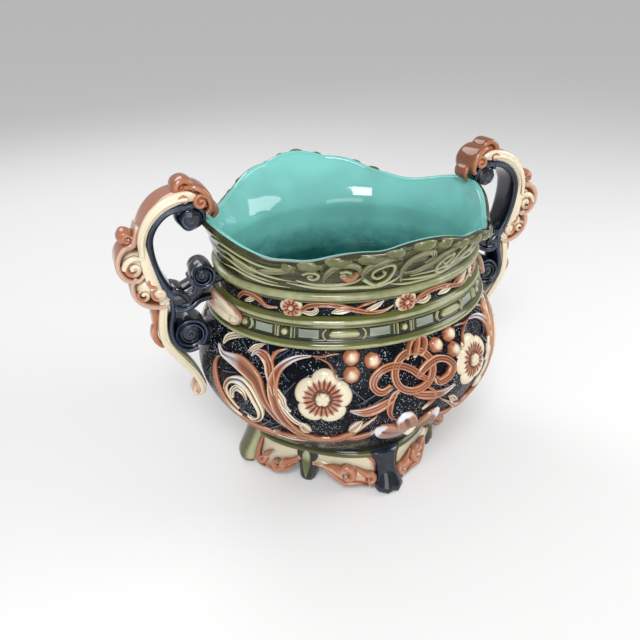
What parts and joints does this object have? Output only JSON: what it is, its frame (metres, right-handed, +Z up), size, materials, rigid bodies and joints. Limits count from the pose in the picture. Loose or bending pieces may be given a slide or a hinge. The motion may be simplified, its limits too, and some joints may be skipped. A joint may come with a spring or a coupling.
{
  "type": "jardiniere",
  "caption": "Oval relief-moulded glazed earthenware jardiniere with a scalloped flaring rim, a belted neck, two scrolled loop handles and an integral footed base with scroll aprons.",
  "frame": {"origin": "on the ground, under the middle of the pot", "axes": "+Z up, +X along the handles, -Y towards the ornamented front with the knot"},
  "size_m": [0.401, 0.2794, 0.2937],
  "materials": {
    "navy_glaze": "glossy lead glaze, ink blue outside, turquoise inside the bowl",
    "green_glaze": "glossy translucent olive green glaze, paler on the high edges",
    "cream_glaze": "glossy cream glaze shaded with brown",
    "brown_glaze": "glossy translucent salmon brown glaze"
  },
  "bodies": {
    "root": {"apron_face_back_left": "cream_glaze", "apron_face_back_right": "cream_glaze", "apron_face_front_left": "cream_glaze", "apron_face_front_right": "cream_glaze", "apron_side_back_left": "cream_glaze", "apron_side_back_right": "cream_glaze", "apron_side_front_left": "cream_glaze", "apron_side_front_right": "cream_glaze", "belly_flower_back_left": "cream_glaze", "belly_flower_back_right": "cream_glaze", "belly_flower_front_left": "cream_glaze", "belly_flower_front_right": "cream_glaze", "belly_vine_back_left": "brown_glaze", "belly_vine_back_right": "brown_glaze", "belly_vine_front_left": "brown_glaze", "belly_vine_front_right": "brown_glaze", "belt": "green_glaze", "belt_beads": "green_glaze", "belt_cartouches": "green_glaze", "belt_clasp_back_left": "cream_glaze", "belt_clasp_back_right": "cream_glaze", "belt_clasp_front_left": "cream_glaze", "belt_clasp_front_right": "cream_glaze", "bowl": "navy_glaze", "bracket_back_left": "green_glaze", "bracket_back_right": "green_glaze", "bracket_front_left": "green_glaze", "bracket_front_right": "green_glaze", "corner_foot_back": "navy_glaze", "corner_foot_front": "navy_glaze", "corner_foot_left": "green_glaze", "corner_foot_right": "green_glaze", "fan_flower_back": "brown_glaze", "fan_flower_front": "brown_glaze", "handle_arm_left": "navy_glaze", "handle_arm_right": "navy_glaze", "handle_back_leaf_left": "brown_glaze", "handle_back_leaf_right": "brown_glaze", "handle_ball_left": "navy_glaze", "handle_ball_right": "navy_glaze", "handle_crest_left": "brown_glaze", "handle_crest_right": "brown_glaze", "handle_leaf_left": "cream_glaze", "handle_leaf_right": "cream_glaze", "handle_lobes_left": "cream_glaze", "handle_lobes_right": "cream_glaze", "handle_low_volute_left": "navy_glaze", "handle_low_volute_right": "navy_glaze", "handle_scroll_left": "cream_glaze", "handle_scroll_right": "cream_glaze", "handle_volute_left": "navy_glaze", "handle_volute_right": "navy_glaze", "knot_back": "brown_glaze", "knot_berries": "brown_glaze", "knot_front": "brown_glaze", "neck_flowers": "brown_glaze", "plinth": "green_glaze", "rim_band": "green_glaze", "rim_roll": "green_glaze"}
  },
  "joints": []
}
